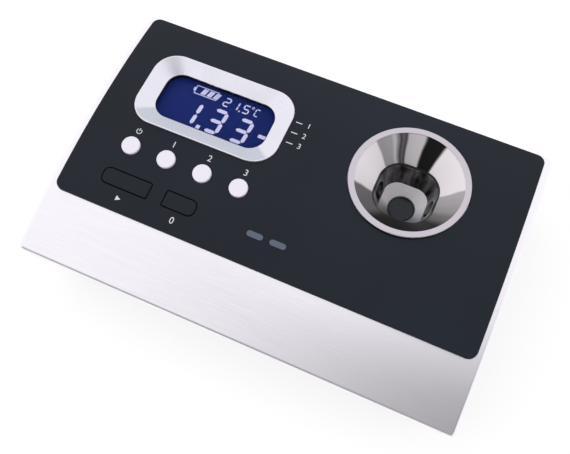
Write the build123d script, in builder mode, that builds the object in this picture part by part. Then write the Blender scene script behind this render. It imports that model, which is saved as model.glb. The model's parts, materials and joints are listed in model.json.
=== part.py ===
from build123d import *
import os
from math import asin, atan, cos, degrees, radians, sin, sqrt, tan

# Portable refractometer: arched steel cover with a moulded panel, a display, six push keys and an open
# sample stage, on a moulded tray that holds the optics, the boards and two cells.
# Millimetres. X runs to the right, Y to the back, Z up. The origin is on the surface that the feet rest
# on, under the middle of the outline. Depths are counted down from the highest line of the panel.

# Overall form; the width adds up from left to right
left_margin = 14.95
stage_gap = 26.95
right_margin = 23.5
panel_top = 44.0
panel_radius = 282.0
foot_height = 1.5

# Steel cover, measured as lengths along the arch from the stage axis
cover_wall = 1.2
cover_corner = 2.0
cover_edge_round = 1.6
skirt_height = 5.0
front_strip = 26.4
back_strip = 1.85

# Moulded panel
panel_thickness = 1.2
panel_side_strip = 3.0
panel_front = 52.55
panel_back = 30.45
panel_corner = 3.3
panel_edge_round = 0.4
bond_gap = 0.1

# Clearances
seat_gap = 0.1
running_gap = 0.3
panel_fit = 0.15

# Display
bezel_rim = 6.6
bezel_rim_front = 6.1
bezel_rim_corner = 3.2
bezel_proud = 0.4
bezel_lip = 0.5
view_width = 46.4
view_height = 20.6
view_corner = 6.6
bevel_depth = 2.4
bezel_sill = 0.5
window_ledge = 1.6
window_thickness = 1.0
bezel_hem = 1.1
bezel_skirt_wall = 1.6
glass_depth = 5.3
glass_border = 2.3
glass_border_front = 2.7
glass_thickness = 2.0
backlight_step = 1.0
backlight_thickness = 2.4
frame_wall = 4.75
frame_wall_front = 4.0
frame_corner = 3.0
frame_top_depth = 3.5
frame_floor = 1.7
ear_offset = 3.35
ear_spread = 16.0
ear_size = 7.2
ear_top_depth = 7.0
ear_thickness = 2.5

# Push keys, in the plane that touches the arch at key_arc
key_arc = -34.0
key_travel = 0.6
key_gap = 0.4
key_flange = 1.0
key_flange_thickness = 0.8
key_edge_round = 0.3
stem_radius = 2.0
stem_length = 1.6
button_row = 6.8
button_shift = 0.75
button_pitch = 14.9
button_radius = 3.55
button_proud = 0.9
button_gap = 0.3
flange_gap = 0.2
button_dome = 0.35
flush_row = -6.9
start_key_shift = -16.65
start_key_width = 19.1
zero_key_shift = 5.65
zero_key_width = 12.5
flush_key_height = 6.0
flush_key_proud = 0.05
flush_key_round = 2.3
flush_key_corner = 0.5

# Pill lenses of the two indicator lamps
pill_row = -7.2
pill_shift = 40.55
pill_pitch = 9.0
pill_length = 6.4
pill_height = 2.3
pill_proud = 0.1
pill_shoulder = 0.8
pill_pipe_depth = 7.6

# Key board with its switches and lamps
key_board_depth = 10.3
key_board_thickness = 1.6
key_board_shift = 10.25
key_board_width = 90.0
key_board_height = 24.0
key_board_row = -1.0
switch_size = 6.0
switch_height = 3.2
plunger_radius = 1.7
switch_slack = 0.15
led_length = 3.2
led_width = 2.0
stud_radius = 2.4
stud_inset = 3.2
screw_shank = 0.75
screw_head = 1.9
screw_head_height = 1.3
screw_bite = 3.0

# Sample stage
rim_radius = 22.5
rim_inner_radius = 20.2
rim_proud = 0.3
rim_round = 0.25
funnel_collar_radius = 20.3
funnel_collar_depth = 6.0
funnel_neck_radius = 16.5
mouth_width = 24.0
mouth_height = 23.4
mouth_corner = 9.0
mouth_depth = 9.3
neck_top_depth = 9.0
neck_depth = 9.7
nut_width = 4.1
nut_thickness = 2.0
nut_notch_width = 4.0
nut_notch_depth = 1.5
seal_width = 1.3
seal_lip = 0.4
seal_thickness = 0.7
well_step = 0.75
well_edge_round = 0.3
cell_width = 36.0
cell_height = 34.0
cell_corner = 3.0
well_draft = 15.2
cell_depth = 26.0
face_depth = 24.0
face_radius = 4.9
dish_depth = 19.5
prism_gap = 0.2

# Prism under the well
prism_seal_thickness = 0.5
prism_seal_width = 1.5
prism_width = 15.0
prism_length = 13.0
prism_shoulder = 2.0
prism_height = 5.6
prism_base = 8.0
clamp_width = 12.0
clamp_length = 26.0
clamp_thickness = 1.5
clamp_screw_y = 10.6

# Light path across the well
beam_depth = 15.5
beam_radius = 3.5
cell_window_radius = 4.4
cell_window_thickness = 1.5
cell_window_wall = 1.5
barrel_radius = 6.5
barrel_nose_radius = 4.4
barrel_bore = 4.5
barrel_throat = 3.0
barrel_end_wall = 1.2
lamp_barrel_length = 22.0
detector_barrel_length = 16.0
disc_thickness = 1.2
lens_thickness = 3.0
lamp_length = 6.0
lamp_radius = 2.4
lamp_dome = 1.9

# Base block of the optics
base_width = 40.0
base_length = 32.0
base_flange_width = 57.0
base_flange_length = 38.0
base_flange_thickness = 3.0
base_screw_x = 24.2
base_screw_y = 14.0
base_lift = 1.7
sensor_width = 9.8
sensor_height = 4.6
sensor_thickness = 3.6

# Moulded tray
housing_inset = 0.5
housing_draft = 5.0
housing_corner = 2.6
cavity_corner = 0.5
base_round = 2.2
shadow_gap = 0.4
tongue_gap = 0.3
tongue_wall = 1.6
gasket_thickness = 1.1
floor_thickness = 2.8
boss_side_inset = 10.5
boss_front_inset = 21.4
boss_back_inset = 11.4
boss_radius = 4.0
boss_top = 27.5
boss_seat = 19.0
gusset_thickness = 1.4
rib_thickness = 1.2
rib_height = 1.2
rib_pitch = 17.0
cover_screw_shank = 1.3
cover_screw_head = 2.4
cover_screw_head_height = 2.0
cover_screw_length = 14.0
standoff_radius = 3.0

# Main board
board_lift = 2.8
board_thickness = 1.6
board_side_inset = 14.5
board_stage_gap = 3.4
board_front_inset = 16.4
board_back_inset = 14.4
board_boss_radius = 3.0
board_hole_inset = 4.0
chip_size = 12.0
chip_height = 1.6
crystal_length = 7.0
crystal_width = 3.4
sounder_radius = 4.5
connector_inset = 8.0

# Cells, contacts and the sliding door
cell_diameter = 10.5
cell_length = 43.6
cell_nub_length = 0.9
cell_nub_radius = 1.9
cell_gap = 1.0
bay_from_left = 55.0
bay_from_back = 30.4
bay_clearance = 0.5
contact_size = 8.0
contact_thickness = 0.5
contact_spring = 1.2
spring_radius = 3.4
spring_taper = 35.0
bay_wall = 2.6
bay_roof = 1.6
door_margin = 0.7
door_tongue = 1.0
door_tongue_thickness = 0.8
door_ceiling = 1.6
grip_width = 16.0
grip_pitch = 2.4
grip_depth = 0.5
grip_count = 5

# Feet
foot_radius = 5.2
foot_recess = 0.9
foot_side_inset = 22.0
foot_front_inset = 17.4
foot_back_inset = 13.0
foot_round = 0.5

# Flat cable between the boards
ribbon_width = 12.0
ribbon_thickness = 0.3
ribbon_bend = 2.0
connector_margin = 1.0
connector_depth = 4.0
connector_height = 2.6

# Derived: the arch and the outline
arch_z = panel_top - panel_radius
cover_radius = panel_radius - panel_thickness - bond_gap
roof_depth = panel_thickness + bond_gap + cover_wall
front_angle = (panel_front + front_strip) / panel_radius
back_angle = (panel_back + back_strip) / panel_radius


def edge_reach(angle):
    """Horizontal distance from the stage axis to the rounded edge of the cover at that angle."""
    return (cover_radius - cover_edge_round) * sin(angle) + cover_edge_round * (1 - cos(angle))


stage_y = (edge_reach(front_angle) - edge_reach(back_angle)) / 2
bezel_width = view_width + 2 * bezel_rim
bezel_height = view_height + 2 * bezel_rim_front
bezel_corner = view_corner + bezel_rim_corner
glass_width = view_width + 2 * glass_border
glass_height = view_height + 2 * glass_border_front
frame_width = glass_width + 2 * frame_wall
frame_height = glass_height + 2 * frame_wall_front
ear_reach = frame_width / 2 + ear_offset
overall_width = left_margin + bezel_width + stage_gap + 2 * rim_radius + right_margin
half_width = overall_width / 2
half_depth = (edge_reach(front_angle) + edge_reach(back_angle)) / 2
display_x = left_margin + bezel_width / 2 - half_width
stage_x = half_width - right_margin - rim_radius
button_middle_x = display_x + button_shift
start_key_x = display_x + start_key_shift
zero_key_x = display_x + zero_key_shift
pill_middle_x = display_x + pill_shift
key_board_x = display_x + key_board_shift
inner_corner = max(cover_corner - cover_wall, seat_gap)
skirt_radius = cover_radius - skirt_height
tongue_inset = cover_wall + tongue_gap
cavity_inset = tongue_inset + tongue_wall
tongue_radius = cover_radius - cover_wall - seat_gap - gasket_thickness - seat_gap
floor_top = foot_height + floor_thickness
far = overall_width


def level(depth):
    """Height of a point that lies a depth below the highest line of the panel."""
    return panel_top - depth


def arch_plane(arc):
    """Plane that touches the panel where the arc length from the stage axis is arc."""
    angle = arc / panel_radius
    touch = (0, stage_y + panel_radius * sin(angle), arch_z + panel_radius * cos(angle))
    return Plane(origin=touch, x_dir=(1, 0, 0), z_dir=(0, sin(angle), cos(angle)))


key_plane = arch_plane(key_arc)


def roof_sag(reach):
    """How far the arch falls at a horizontal distance from the stage axis."""
    return panel_radius - sqrt(panel_radius**2 - reach**2)


def side_corner(angle, inset, height, side):
    """Point of the radial end face at a height, moved inwards; side is -1 at the front, 1 at the back."""
    spoke = (height - arch_z - inset * sin(angle)) / cos(angle)
    return (stage_y + side * (spoke * sin(angle) - inset * cos(angle)), height)


def arch_block(inset, roof_radius, floor_z, corner, draft=0.0):
    """Solid under the arch with radial end faces; every wall lies inset inside the cover's outline."""
    ceiling_z = panel_top + running_gap
    with BuildPart() as block:
        with BuildSketch(Plane.YZ):
            with BuildLine():
                Polyline(
                    side_corner(front_angle, inset, floor_z, -1),
                    side_corner(front_angle, inset, ceiling_z, -1),
                    side_corner(back_angle, inset, ceiling_z, 1),
                    side_corner(back_angle, inset, floor_z, 1),
                    close=True,
                )
            make_face()
            with Locations((stage_y, arch_z)):
                Circle(roof_radius, mode=Mode.INTERSECT)
        extrude(amount=far, both=True)
        top_half = overall_width / 2 - inset
        floor_half = top_half - (ceiling_z - floor_z) * tan(radians(draft))
        with BuildSketch(Plane.XZ):
            with BuildLine():
                Polyline(
                    (-floor_half, floor_z),
                    (floor_half, floor_z),
                    (top_half, ceiling_z),
                    (-top_half, ceiling_z),
                    close=True,
                )
            make_face()
        extrude(amount=far, both=True, mode=Mode.INTERSECT)
        upright = block.edges().filter_by(lambda edge: abs((edge % 0.5).Z) > 0.9)
        fillet(upright, corner)
    return block.part


def arch_disc(radius):
    """Cylinder about the axis of the arch."""
    with BuildPart() as disc:
        with BuildSketch(Plane.YZ):
            with Locations((stage_y, arch_z)):
                Circle(radius)
        extrude(amount=far, both=True)
    return disc.part


def roof_edges(block):
    """Edges round the arched top face of a block."""
    roof = block.faces().filter_by(GeomType.CYLINDER).sort_by(SortBy.AREA)[-1]
    return roof.outer_wire().edges()


def deck(depth):
    """Horizontal plane at a depth."""
    return Plane.XY.offset(level(depth))


def flush_key_outline(middle_x, width, round_side, grow):
    """Outline of a flush key: large corners on its outer side, small ones on the other."""
    with BuildSketch() as outline:
        with Locations((middle_x, flush_row)):
            Rectangle(width + 2 * grow, flush_key_height + 2 * grow)
        corners = outline.vertices().sort_by(Axis.X)
        outer = corners[:2] if round_side < 0 else corners[-2:]
        fillet(outer, flush_key_round + grow)
        inner = outline.vertices().sort_by(Axis.X)
        fillet(inner[-2:] if round_side < 0 else inner[:2], flush_key_corner + grow)
    return outline.sketch


button_names = ["power_button", "scale_button_1", "scale_button_2", "scale_button_3"]
button_places = [
    (button_middle_x + (n - (len(button_names) - 1) / 2) * button_pitch, button_row)
    for n in range(len(button_names))
]
pill_places = [(pill_middle_x + side * pill_pitch / 2, pill_row) for side in (-1, 1)]
switch_places = button_places + [(start_key_x, flush_row), (zero_key_x, flush_row)]
cut_above = 3.0
cut_below = 8.0


def control_cutters(extra):
    """Prisms that open a sheet for the buttons, the keys and the pill lenses."""
    with BuildPart() as cutters:
        with BuildSketch(key_plane.offset(cut_above)):
            with Locations(*button_places):
                Circle(button_radius + button_gap + extra)
            add(flush_key_outline(start_key_x, start_key_width, -1, key_gap + extra))
            add(flush_key_outline(zero_key_x, zero_key_width, 1, key_gap + extra))
            with Locations(*pill_places):
                SlotOverall(pill_length + 2 * (seat_gap + extra), pill_height + 2 * (seat_gap + extra))
        extrude(amount=-cut_above - cut_below)
    return cutters.part


board_span_x = key_board_width / 2 - stud_inset
board_span_y = key_board_height / 2 - stud_inset
key_stud_places = [
    (key_board_x + side * board_span_x, key_board_row + end * board_span_y)
    for side in (-1, 1)
    for end in (-1, 1)
]
ear_places = [
    (display_x + side * ear_reach, stage_y + end * ear_spread / 2)
    for side in (-1, 1)
    for end in (-1, 1)
]


def corner_places(side_inset, front_inset, back_inset):
    """Four places at given distances in from the sides, the front and the back of the cover."""
    rows = (front_inset - half_depth, half_depth - back_inset)
    return [(side * (half_width - side_inset), y) for side in (-1, 1) for y in rows]


boss_places = corner_places(boss_side_inset, boss_front_inset, boss_back_inset)
foot_places = corner_places(foot_side_inset, foot_front_inset, foot_back_inset)
standoff_foot = boss_top + running_gap
skirt_width = view_width + 2 * (window_ledge + seat_gap + bezel_skirt_wall)
skirt_length = view_height + 2 * (window_ledge + seat_gap + bezel_skirt_wall)
skirt_corner = view_corner + window_ledge + seat_gap + bezel_skirt_wall
window_depth = bevel_depth + bezel_sill
bezel_foot = window_depth + window_thickness + bezel_hem

# Studs under the cover: long ones for the tray's screws, short ones for the display and the key board
with BuildPart() as studs:
    with BuildSketch(Plane.XY.offset(standoff_foot)):
        with Locations(*boss_places):
            Circle(standoff_radius)
    extrude(amount=panel_top - standoff_foot)
    with BuildSketch(deck(ear_top_depth)):
        with Locations(*ear_places):
            Circle(stud_radius)
    extrude(amount=ear_top_depth)
    with BuildSketch(key_plane.offset(-key_board_depth)):
        with Locations(*key_stud_places):
            Circle(stud_radius)
    extrude(amount=key_board_depth)
    add(arch_disc(cover_radius - cover_wall / 2), mode=Mode.INTERSECT)
    with BuildSketch(Plane.XY.offset(standoff_foot)):
        with Locations(*boss_places):
            Circle(cover_screw_shank + seat_gap / 2)
    extrude(amount=cover_screw_length + boss_seat - standoff_foot + running_gap, mode=Mode.SUBTRACT)
    with BuildSketch(deck(ear_top_depth)):
        with Locations(*ear_places):
            Circle(screw_shank + seat_gap / 2)
    extrude(amount=screw_bite + running_gap, mode=Mode.SUBTRACT)
    with BuildSketch(key_plane.offset(-key_board_depth)):
        with Locations(*key_stud_places):
            Circle(screw_shank + seat_gap / 2)
    extrude(amount=screw_bite + running_gap, mode=Mode.SUBTRACT)

# Arched steel cover with a turned-down rim
with BuildPart() as top_cover:
    add(arch_block(0, cover_radius, floor_top, cover_corner))
    fillet(roof_edges(top_cover.part), cover_edge_round)
    add(arch_block(cover_wall, cover_radius - cover_wall, foot_height, inner_corner), mode=Mode.SUBTRACT)
    add(arch_disc(skirt_radius), mode=Mode.SUBTRACT)
    add(studs.part)
    add(control_cutters(panel_fit), mode=Mode.SUBTRACT)
    with BuildSketch(deck(-cut_above)):
        with Locations((display_x, stage_y)):
            RectangleRounded(
                skirt_width + 2 * panel_fit, skirt_length + 2 * panel_fit, skirt_corner + panel_fit
            )
        with Locations((stage_x, stage_y)):
            Circle(funnel_collar_radius + panel_fit)
    extrude(amount=-cut_above - frame_top_depth, mode=Mode.SUBTRACT)
top_cover.part.label = "top_cover"

# Moulded panel bonded on the cover
panel_width = overall_width - 2 * panel_side_strip
panel_front_y = stage_y - panel_radius * sin(panel_front / panel_radius)
panel_back_y = stage_y + panel_radius * sin(panel_back / panel_radius)
with BuildPart() as front_panel:
    with BuildSketch(deck(cut_below + skirt_height)):
        with Locations((0, (panel_front_y + panel_back_y) / 2)):
            RectangleRounded(panel_width, panel_back_y - panel_front_y, panel_corner)
    extrude(amount=cut_below + skirt_height + cut_above)
    add(arch_disc(panel_radius), mode=Mode.INTERSECT)
    fillet(roof_edges(front_panel.part), panel_edge_round)
    add(arch_disc(panel_radius - panel_thickness), mode=Mode.SUBTRACT)
    add(control_cutters(0), mode=Mode.SUBTRACT)
    with BuildSketch(deck(-cut_above)):
        with Locations((display_x, stage_y)):
            RectangleRounded(
                bezel_width + 2 * panel_fit, bezel_height + 2 * panel_fit, bezel_corner + panel_fit
            )
        with Locations((stage_x, stage_y)):
            Circle(rim_radius + panel_fit)
    extrude(amount=-cut_above - cut_below, mode=Mode.SUBTRACT)
front_panel.part.label = "front_panel"


def display_plate(width, height, corner, top_depth, thickness):
    """Rounded plate centred on the display, from a depth downwards."""
    with BuildPart() as plate:
        with BuildSketch(deck(top_depth)):
            with Locations((display_x, stage_y)):
                RectangleRounded(width, height, corner)
        extrude(amount=-thickness)
    return plate.part


# Display bezel: flange on the cover, bevel down to the view, skirt that holds the window
flange_foot = panel_thickness + bond_gap - seat_gap / 2
with BuildPart() as display_bezel:
    add(display_plate(bezel_width, bezel_height, bezel_corner, -bezel_proud, bezel_proud + flange_foot))
    rim = display_bezel.faces().sort_by(Axis.Z)[-1].outer_wire().edges()
    fillet(rim, bezel_lip / 2)
    add(display_plate(skirt_width, skirt_length, skirt_corner, flange_foot, bezel_foot - flange_foot))
    with BuildSketch(deck(-bezel_proud)):
        with Locations((display_x, stage_y)):
            RectangleRounded(
                bezel_width - 2 * bezel_lip, bezel_height - 2 * bezel_lip, bezel_corner - bezel_lip
            )
    with BuildSketch(deck(bevel_depth)):
        with Locations((display_x, stage_y)):
            RectangleRounded(view_width, view_height, view_corner)
    loft(mode=Mode.SUBTRACT)
    add(display_plate(view_width, view_height, view_corner, bevel_depth, bezel_foot), mode=Mode.SUBTRACT)
    add(
        display_plate(
            view_width + 2 * (window_ledge + seat_gap),
            view_height + 2 * (window_ledge + seat_gap),
            view_corner + window_ledge + seat_gap,
            window_depth,
            bezel_foot,
        ),
        mode=Mode.SUBTRACT,
    )
display_bezel.part.label = "display_bezel"

# Clear window in the bezel's rebate
display_window = display_plate(
    view_width + 2 * window_ledge,
    view_height + 2 * window_ledge,
    view_corner + window_ledge,
    window_depth + seat_gap / 2,
    window_thickness,
)
display_window.label = "display_window"

# Liquid crystal cell and its backlight
glass_foot = glass_depth + glass_thickness
display_glass = display_plate(glass_width, glass_height, flush_key_corner, glass_depth, glass_thickness)
display_glass.label = "display_glass"
backlight_width = glass_width - 2 * backlight_step
backlight_height = glass_height - 2 * backlight_step
display_backlight = display_plate(
    backlight_width, backlight_height, flush_key_corner, glass_foot + seat_gap, backlight_thickness
)
display_backlight.label = "display_backlight"

# Frame that carries the cell under the cover, with four ears
frame_foot = glass_foot + seat_gap + backlight_thickness + frame_floor
with BuildPart() as display_frame:
    frame_thickness = frame_foot - frame_top_depth
    add(display_plate(frame_width, frame_height, frame_corner, frame_top_depth, frame_thickness))
    with BuildSketch(deck(ear_top_depth)):
        with Locations(*ear_places):
            RectangleRounded(ear_size, ear_size, ear_size / 4)
    extrude(amount=-ear_thickness)
    add(
        display_plate(
            skirt_width + 2 * running_gap,
            skirt_length + 2 * running_gap,
            skirt_corner + running_gap,
            frame_top_depth,
            bezel_foot + seat_gap - frame_top_depth,
        ),
        mode=Mode.SUBTRACT,
    )
    add(
        display_plate(
            glass_width + 2 * seat_gap,
            glass_height + 2 * seat_gap,
            flush_key_corner + seat_gap,
            frame_top_depth,
            glass_foot - frame_top_depth,
        ),
        mode=Mode.SUBTRACT,
    )
    add(
        display_plate(
            backlight_width + 2 * seat_gap,
            backlight_height + 2 * seat_gap,
            flush_key_corner + seat_gap,
            frame_top_depth,
            glass_foot + seat_gap + backlight_thickness - frame_top_depth,
        ),
        mode=Mode.SUBTRACT,
    )
    with BuildSketch(deck(ear_top_depth)):
        with Locations(*ear_places):
            Circle(screw_shank + running_gap)
    extrude(amount=-ear_thickness, mode=Mode.SUBTRACT)
display_frame.part.label = "display_frame"


def screw_group(seat, places, grip, shank=screw_shank, head=screw_head, head_height=screw_head_height):
    """Screws whose heads lie on the far side of the seat plane and whose shanks reach up by grip."""
    with BuildPart() as group:
        with BuildSketch(seat):
            with Locations(*places):
                Circle(head)
        extrude(amount=-head_height)
        heads = group.faces().filter_by(GeomType.PLANE).sort_by(Axis.Z)[: len(places)]
        chamfer(heads.edges(), head_height / 3)
        with BuildSketch(seat):
            with Locations(*places):
                Circle(shank)
        extrude(amount=grip)
    return group.part


display_screws = screw_group(deck(ear_top_depth + ear_thickness), ear_places, ear_thickness + screw_bite)
display_screws.label = "display_screws"

# Round buttons: domed cap through the panel, retaining flange, stem
key_reach = max(button_row, -flush_row) + button_radius + button_gap + panel_fit + key_flange
flange_top = roof_depth + roof_sag(key_reach) + flange_gap
flange_low = flange_top + key_flange_thickness
stem_foot = flange_low + stem_length
plunger_top = stem_foot + key_travel + switch_slack


def round_button(place, name):
    """One round button at its place in the key plane."""
    with BuildPart() as button:
        with BuildSketch(key_plane.offset(-flange_top)):
            with Locations(place):
                Circle(button_radius)
        extrude(amount=flange_top + button_proud)
        crown = button.faces().filter_by(GeomType.PLANE).sort_by(Axis.Z)[-1]
        fillet(crown.edges(), button_dome)
        with BuildSketch(key_plane.offset(-flange_low)):
            with Locations(place):
                Circle(button_radius + button_gap + panel_fit + key_flange)
        extrude(amount=key_flange_thickness)
        with BuildSketch(key_plane.offset(-stem_foot)):
            with Locations(place):
                Circle(stem_radius)
        extrude(amount=stem_foot - flange_low)
    button.part.label = name
    return button.part


buttons = [round_button(place, name) for place, name in zip(button_places, button_names)]


def flush_key(middle_x, width, round_side, name):
    """One flush key at its place in the key plane."""
    with BuildPart() as key:
        with BuildSketch(key_plane.offset(-flange_top)):
            add(flush_key_outline(middle_x, width, round_side, 0))
        extrude(amount=flange_top + flush_key_proud)
        crown = key.faces().filter_by(GeomType.PLANE).sort_by(SortBy.AREA)[-2:].sort_by(Axis.Z)[-1]
        fillet(crown.edges(), key_edge_round)
        with BuildSketch(key_plane.offset(-flange_low)):
            add(flush_key_outline(middle_x, width, round_side, key_gap + panel_fit + key_flange))
        extrude(amount=key_flange_thickness)
        with BuildSketch(key_plane.offset(-stem_foot)):
            with Locations((middle_x, flush_row)):
                Circle(stem_radius)
        extrude(amount=stem_foot - flange_low)
    key.part.label = name
    return key.part


start_key = flush_key(start_key_x, start_key_width, -1, "start_key")
zero_key = flush_key(zero_key_x, zero_key_width, 1, "zero_key")

# Switches under the keys, one solid each
with BuildPart() as key_switches:
    with BuildSketch(key_plane.offset(-key_board_depth)):
        with Locations(*switch_places):
            RectangleRounded(switch_size, switch_size, flush_key_corner)
    extrude(amount=switch_height)
    with BuildSketch(key_plane.offset(-key_board_depth)):
        with Locations(*switch_places):
            Circle(plunger_radius)
    extrude(amount=key_board_depth - plunger_top)
key_switches.part.label = "key_switches"

# Key board with the cable connector on its lower side
ribbon_x = key_board_x
connector_length = ribbon_width + 2 * connector_margin
with BuildPart() as key_board:
    with BuildSketch(key_plane.offset(-key_board_depth)):
        with Locations((key_board_x, key_board_row)):
            RectangleRounded(key_board_width, key_board_height, flush_key_corner)
        with Locations(*key_stud_places):
            Circle(screw_shank + seat_gap, mode=Mode.SUBTRACT)
    extrude(amount=-key_board_thickness)
    with BuildSketch(key_plane.offset(-key_board_depth - key_board_thickness)):
        with Locations((ribbon_x, 0)):
            Rectangle(connector_length, connector_depth)
    extrude(amount=-connector_height)
key_board.part.label = "key_board"
key_board_screws = screw_group(
    key_plane.offset(-key_board_depth - key_board_thickness),
    key_stud_places,
    key_board_thickness + screw_bite,
)
key_board_screws.label = "key_board_screws"

# Pill lenses with a shoulder under the cover and a light pipe down to the lamp
pill_shoulder_top = roof_depth + roof_sag(key_reach) + flange_gap


def pill_lens(place, name):
    """One indicator lens."""
    with BuildPart() as lens:
        with BuildSketch(key_plane.offset(-pill_shoulder_top)):
            with Locations(place):
                SlotOverall(pill_length, pill_height)
        extrude(amount=pill_shoulder_top + pill_proud)
        crown = lens.faces().filter_by(GeomType.PLANE).sort_by(SortBy.AREA)[-2:].sort_by(Axis.Z)[-1]
        fillet(crown.edges(), pill_proud)
        with BuildSketch(key_plane.offset(-pill_shoulder_top)):
            with Locations(place):
                SlotOverall(pill_length + 2 * pill_shoulder, pill_height + 2 * pill_shoulder)
        extrude(amount=-pill_shoulder)
        with BuildSketch(key_plane.offset(-pill_shoulder_top)):
            with Locations(place):
                SlotOverall(pill_length - pill_shoulder, pill_height)
        extrude(amount=pill_shoulder_top - pill_pipe_depth)
    lens.part.label = name
    return lens.part


indicator_left = pill_lens(pill_places[0], "indicator_left")
indicator_right = pill_lens(pill_places[1], "indicator_right")
with BuildPart() as indicator_leds:
    with BuildSketch(key_plane.offset(-key_board_depth)):
        with Locations(*pill_places):
            Rectangle(led_length, led_width)
    extrude(amount=key_board_depth - pill_pipe_depth - running_gap)
indicator_leds.part.label = "indicator_leds"

def rounded_square(inset, depth):
    """Outline of the funnel's mouth, moved inwards by inset, at a depth."""
    with BuildSketch(deck(depth)) as outline:
        with Locations((stage_x, stage_y)):
            RectangleRounded(mouth_width - 2 * inset, mouth_height - 2 * inset, mouth_corner - inset)
    return outline.sketch


def stage_disc(radius, depth):
    """Circle about the stage axis at a depth."""
    with BuildSketch(deck(depth)) as outline:
        with Locations((stage_x, stage_y)):
            Circle(radius)
    return outline.sketch


# Sample funnel: flat rim, then one smooth surface from the circle of the rim to the rounded-square mouth
stage_axis = Axis((stage_x, stage_y, 0), (0, 0, 1))
stage_section = Plane(origin=(stage_x, stage_y, panel_top), x_dir=(1, 0, 0), z_dir=(0, -1, 0))
with BuildPart() as funnel_space:
    add(stage_disc(rim_inner_radius, 0))
    add(rounded_square(0, mouth_depth))
    loft()
    add(stage_disc(rim_inner_radius, -rim_proud))
    extrude(amount=-rim_proud)
    add(rounded_square(0, mouth_depth))
    extrude(amount=mouth_depth - neck_depth)
with BuildPart() as sample_funnel:
    with BuildSketch(stage_section):
        with BuildLine():
            Polyline(
                (0, rim_proud),
                (rim_radius, rim_proud),
                (rim_radius, -flange_foot),
                (funnel_collar_radius, -flange_foot),
                (funnel_collar_radius, -funnel_collar_depth),
                (funnel_neck_radius, -neck_top_depth),
                (funnel_neck_radius, -neck_depth),
                (0, -neck_depth),
                close=True,
            )
        make_face()
    revolve(axis=stage_axis)
    top_ring = sample_funnel.faces().sort_by(Axis.Z)[-1].outer_wire().edges()
    fillet(top_ring, rim_round)
    add(funnel_space.part, mode=Mode.SUBTRACT)
sample_funnel.part.label = "sample_funnel"

# Ring nut that clamps the funnel under the cover
nut_top_depth = roof_depth + roof_sag(funnel_collar_radius + nut_width) + seat_gap
with BuildPart() as funnel_nut:
    with BuildSketch(deck(nut_top_depth)):
        with Locations((stage_x, stage_y)):
            Circle(funnel_collar_radius + nut_width)
            Circle(funnel_collar_radius + seat_gap, mode=Mode.SUBTRACT)
            with PolarLocations(funnel_collar_radius + nut_width, 4, start_angle=45):
                Rectangle(2 * nut_notch_depth, nut_notch_width, mode=Mode.SUBTRACT)
    extrude(amount=-nut_thickness)
funnel_nut.part.label = "funnel_nut"

# Black seal between the funnel and the well block; its lip shows all round inside the mouth
with BuildPart() as well_seal:
    add(rounded_square(-seal_width, neck_depth + seat_gap / 2))
    extrude(amount=-seal_thickness)
    add(rounded_square(seal_lip, neck_depth))
    extrude(amount=-seal_thickness - seat_gap, mode=Mode.SUBTRACT)
well_seal.part.label = "well_seal"

# Well block: drafted walls, then a dished floor that turns the rounded square into the prism's circle
well_top_depth = neck_depth + seal_thickness + seat_gap
beam_level = level(beam_depth)
seat_radius = cell_window_radius + seat_gap
window_near = mouth_width / 2 + cell_window_wall
dish_inset = well_step + (dish_depth - well_top_depth) * tan(radians(well_draft))
with BuildPart() as well_space:
    add(rounded_square(well_step, well_top_depth))
    add(rounded_square(dish_inset, dish_depth))
    loft()
    add(rounded_square(dish_inset, dish_depth))
    add(stage_disc(face_radius + prism_gap, face_depth))
    loft()
with BuildPart() as sample_well:
    with BuildSketch(deck(neck_depth)):
        with Locations((stage_x, stage_y)):
            RectangleRounded(cell_width, cell_height, cell_corner)
    extrude(amount=-(cell_depth - neck_depth))
    add(rounded_square(-seal_width - seat_gap, neck_depth))
    extrude(amount=-seal_thickness - seat_gap, mode=Mode.SUBTRACT)
    add(well_space.part, mode=Mode.SUBTRACT)
    ledge = sample_well.faces().filter_by(GeomType.PLANE).filter_by(Axis.Z).group_by(Axis.Z)[-2][0]
    fillet(ledge.inner_wires()[0].edges(), well_edge_round)
    with BuildSketch(deck(face_depth)):
        with Locations((stage_x, stage_y)):
            Circle(face_radius + prism_gap)
    extrude(amount=face_depth - cell_depth, mode=Mode.SUBTRACT)
    with BuildSketch(Plane.YZ.offset(stage_x - cell_width)):
        with Locations((stage_y, beam_level)):
            Circle(beam_radius)
    extrude(amount=2 * cell_width, mode=Mode.SUBTRACT)
    for side in (-1, 1):
        with BuildSketch(Plane.YZ.offset(stage_x + side * window_near)):
            with Locations((stage_y, beam_level)):
                Circle(seat_radius)
        extrude(amount=side * cell_width, mode=Mode.SUBTRACT)
sample_well.part.label = "sample_well"


def beam_disc(start, length, radius, bore=0.0):
    """Disc or tube on the light path; start is counted from the stage axis along X."""
    with BuildPart() as disc:
        with BuildSketch(Plane.YZ.offset(stage_x + start)):
            with Locations((stage_y, beam_level)):
                Circle(radius)
                if bore:
                    Circle(bore, mode=Mode.SUBTRACT)
        extrude(amount=length)
    return disc.part


# Windows of the light path, one in each wall of the well
window_far = window_near + cell_window_thickness
lamp_window = beam_disc(-window_far, cell_window_thickness, cell_window_radius)
lamp_window.label = "lamp_window"
detector_window = beam_disc(window_near, cell_window_thickness, cell_window_radius)
detector_window.label = "detector_window"

# Barrels that press on the windows: a narrow nose in the well block and a wide tube outside it
nose_near = window_far + seat_gap
barrel_near = cell_width / 2 + seat_gap


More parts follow.
